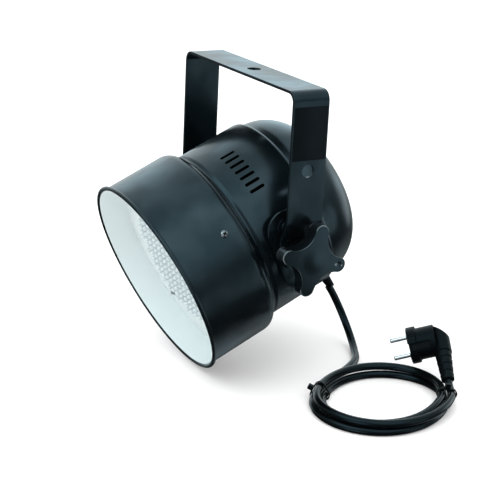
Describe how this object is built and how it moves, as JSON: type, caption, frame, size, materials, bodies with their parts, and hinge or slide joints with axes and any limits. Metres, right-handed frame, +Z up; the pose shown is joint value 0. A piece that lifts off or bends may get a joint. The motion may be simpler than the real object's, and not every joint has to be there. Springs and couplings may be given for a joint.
{
  "type": "led par can",
  "caption": "Short round LED spotlight in a flat steel yoke, with star knobs, a diode board behind a rolled rim, and a coiled mains lead with an angled plug.",
  "frame": {"origin": "centre of the hanging hole, on the top face of the yoke", "axes": "+Z up out of the hanging hole, +X along the tilt axis towards the side that the picture shows, +Y to the back of the lamp"},
  "size_m": [0.3801, 0.3263, 0.3177],
  "materials": {
    "black_powder_coat": "fine satin powder coat",
    "black_plastic": "moulded",
    "black_rubber": "smooth flexible jacket",
    "white_liner": "matte white",
    "white_board": "white board with clear diodes",
    "green_board": "circuit board",
    "zinc_steel": "zinc plated",
    "brass": "plain",
    "plain_steel": "mill sheet"
  },
  "bodies": {
    "yoke": {"yoke": "black_powder_coat"},
    "can": {"barrel": "black_powder_coat", "board_screw_1": "zinc_steel", "board_screw_2": "zinc_steel", "board_screw_3": "zinc_steel", "board_screw_4": "zinc_steel", "capacitor_1": "black_plastic", "capacitor_2": "black_plastic", "chassis_pan": "plain_steel", "coil": "black_rubber", "collar_screw_1": "zinc_steel", "collar_screw_2": "zinc_steel", "collar_screw_3": "zinc_steel", "cord": "black_rubber", "data_inlet": "black_plastic", "data_outlet": "black_plastic", "driver_board": "green_board", "earth_clip_1": "brass", "earth_clip_2": "brass", "friction_washer_left": "black_rubber", "friction_washer_right": "black_rubber", "front_collar": "black_powder_coat", "gland_body": "black_plastic", "gland_locknut": "black_plastic", "gland_nut": "black_plastic", "led_board": "white_board", "outer_washer_left": "zinc_steel", "outer_washer_right": "zinc_steel", "pivot_bolt_left": "zinc_steel", "pivot_bolt_right": "zinc_steel", "plate_screw_left_1": "black_powder_coat", "plate_screw_left_2": "black_powder_coat", "plate_screw_right_1": "black_powder_coat", "plate_screw_right_2": "black_powder_coat", "plug_body": "black_plastic", "plug_boot": "black_rubber", "plug_pin_1": "zinc_steel", "plug_pin_2": "zinc_steel", "power_board": "green_board", "rear_dome": "black_powder_coat", "rear_screw_1": "zinc_steel", "rear_screw_2": "zinc_steel", "rear_screw_3": "zinc_steel", "side_plate_left": "black_powder_coat", "side_plate_right": "black_powder_coat", "strain_sleeve": "black_rubber", "terminal_block": "white_board", "tie_1": "black_plastic", "tie_2": "black_plastic", "transformer": "plain_steel", "white_liner": "white_liner"},
    "knob_left": {"knob_left": "black_plastic", "knob_insert_left": "brass"},
    "knob_right": {"knob_right": "black_plastic", "knob_insert_right": "brass"}
  },
  "joints": [
    {"name": "tilt", "type": "hinge", "parent": "yoke", "child": "can", "pos_m": [0, 0, -0.1637], "axis": [1, 0, 0], "range_deg": [-60, 95]},
    {"name": "knob_left_turn", "type": "hinge", "parent": "can", "child": "knob_left", "pos_m": [-0.12, 0, -0.1637], "axis": [1, 0, 0], "continuous": true},
    {"name": "knob_right_turn", "type": "hinge", "parent": "can", "child": "knob_right", "pos_m": [0.12, 0, -0.1637], "axis": [1, 0, 0], "continuous": true}
  ]
}
